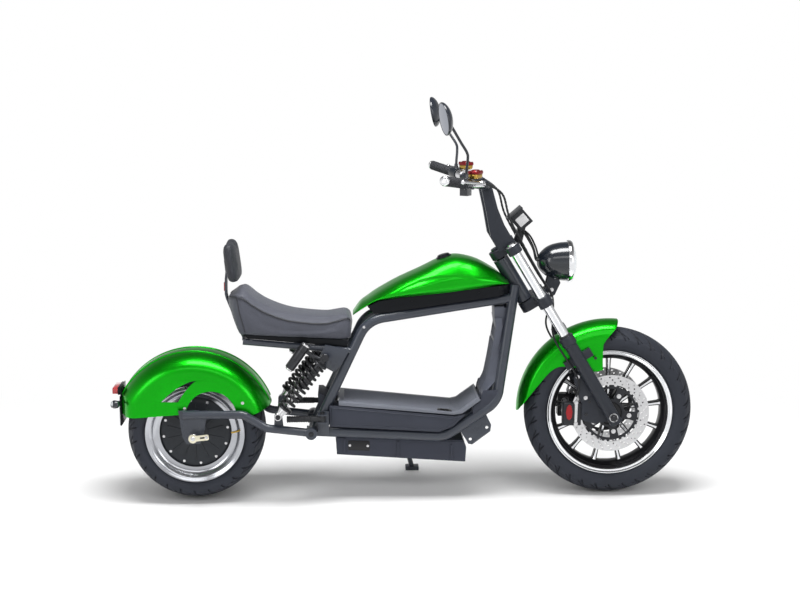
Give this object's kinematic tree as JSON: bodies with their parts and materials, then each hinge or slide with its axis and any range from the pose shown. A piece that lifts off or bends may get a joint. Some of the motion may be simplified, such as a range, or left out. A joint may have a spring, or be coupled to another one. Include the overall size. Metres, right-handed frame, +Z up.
{
  "type": "electric chopper scooter",
  "caption": "Electric chopper scooter with a raked fork, step-through loop frame, dummy tank, low saddle with backrest and a hub motor in a fat rear wheel.",
  "frame": {"origin": "on the floor, midway between the axles, below the upright centre plane", "axes": "+X towards the front wheel, +Y to the rider's left, +Z up"},
  "size_m": [2.014, 0.7245, 1.3949],
  "materials": {
    "frame_paint": "satin black powder coat",
    "battery_case": "textured black",
    "floor_plastic": "grained black",
    "battery_cells": "plain pack",
    "body_green": "candy metallic green under clear coat",
    "skirt_black": "satin black",
    "seat_leather": "dark grey grained",
    "shock_metal": "cast grey",
    "spring_black": "gloss black",
    "bright_steel": "bright zinc",
    "red_lens": "clear red",
    "caliper_black": "satin black",
    "fork_black": "gloss black",
    "chrome_tube": "polished",
    "lamp_black": "gloss black",
    "lamp_glass": "clear domed lens in a bright ring",
    "display_black": "black",
    "grip_rubber": "ribbed",
    "lever_alloy": "polished",
    "reservoir_gold": "gold anodised",
    "mirror_black": "gloss black shell",
    "hose_rubber": "matt",
    "tyre_rubber": "matt",
    "rim_alloy": "polished lip",
    "disc_steel": "ground",
    "motor_black": "satin black",
    "deck_plastic": "grained black",
    "peg_rubber": "matt"
  },
  "bodies": {
    "chassis": {"main_frame": "frame_paint", "seat_rails": "frame_paint", "frame_brackets": "frame_paint", "battery_box": "battery_case", "floor_tub": "floor_plastic", "battery_pack": "battery_cells", "side_panels": "floor_plastic", "riser_panel": "floor_plastic", "tank_cover": "body_green", "tank_skirt": "skirt_black", "seat_pan": "skirt_black", "saddle": "seat_leather", "backrest_bar": "frame_paint", "backrest_pad": "seat_leather", "swing_arm": "frame_paint", "shock_bodies": "shock_metal", "shock_springs": "spring_black", "rear_axle": "bright_steel", "rear_fender": "body_green", "plate_holder": "skirt_black", "tail_lamps": "red_lens", "rear_caliper": "caliper_black"},
    "fork": {"lower_yoke": "fork_black", "top_clamp": "fork_black", "fork_tubes": "chrome_tube", "fork_sliders": "fork_black", "front_axle": "bright_steel", "front_fender": "body_green", "front_calipers": "caliper_black", "lamp_bucket": "lamp_black", "lamp_lens": "lamp_glass", "instrument": "display_black", "bar_risers": "fork_black", "handlebar": "fork_black", "grips": "grip_rubber", "switch_pods": "lamp_black", "brake_levers": "lever_alloy", "reservoirs": "reservoir_gold", "mirrors": "mirror_black", "brake_hoses": "hose_rubber"},
    "front_wheel": {"front_tyre": "tyre_rubber", "front_rim": "rim_alloy", "front_discs": "disc_steel"},
    "rear_wheel": {"rear_tyre": "tyre_rubber", "rear_rim": "rim_alloy", "hub_motor": "motor_black", "rear_disc": "disc_steel"},
    "side_stand": {"side_stand": "frame_paint"},
    "deck_lid": {"deck_lid": "deck_plastic"},
    "foot_peg_right": {"foot_peg_right": "peg_rubber"},
    "foot_peg_left": {"foot_peg_left": "peg_rubber"}
  },
  "joints": [
    {"name": "steering", "type": "hinge", "parent": "chassis", "child": "fork", "pos_m": [0.67343, 0.02329, 0.26692], "axis": [-0.515, 0.0747, 0.8539], "range_deg": [-36, 36]},
    {"name": "front_wheel_spin", "type": "hinge", "parent": "fork", "child": "front_wheel", "pos_m": [0.718, 0.02562, 0.2936], "axis": [0, 0.9962, -0.0872], "continuous": true},
    {"name": "rear_wheel_spin", "type": "hinge", "parent": "chassis", "child": "rear_wheel", "pos_m": [-0.718, 0.02079, 0.23831], "axis": [0, 0.9962, -0.0872], "continuous": true},
    {"name": "side_stand_fold", "type": "hinge", "parent": "chassis", "child": "side_stand", "pos_m": [-0.004, 0.12935, 0.19418], "axis": [0, 0.8988, 0.4384], "range_deg": [0, 100]},
    {"name": "deck_lid_open", "type": "hinge", "parent": "chassis", "child": "deck_lid", "pos_m": [-0.224, 0.03016, 0.3454], "axis": [0, -0.9962, 0.0872], "range_deg": [0, 30]},
    {"name": "foot_peg_right_fold", "type": "hinge", "parent": "chassis", "child": "foot_peg_right", "pos_m": [-0.28, -0.10734, 0.31126], "axis": [0, 0.0872, 0.9962], "range_deg": [0, 85]},
    {"name": "foot_peg_left_fold", "type": "hinge", "parent": "chassis", "child": "foot_peg_left", "pos_m": [-0.28, 0.15964, 0.2879], "axis": [0, -0.0872, -0.9962], "range_deg": [0, 85]}
  ]
}
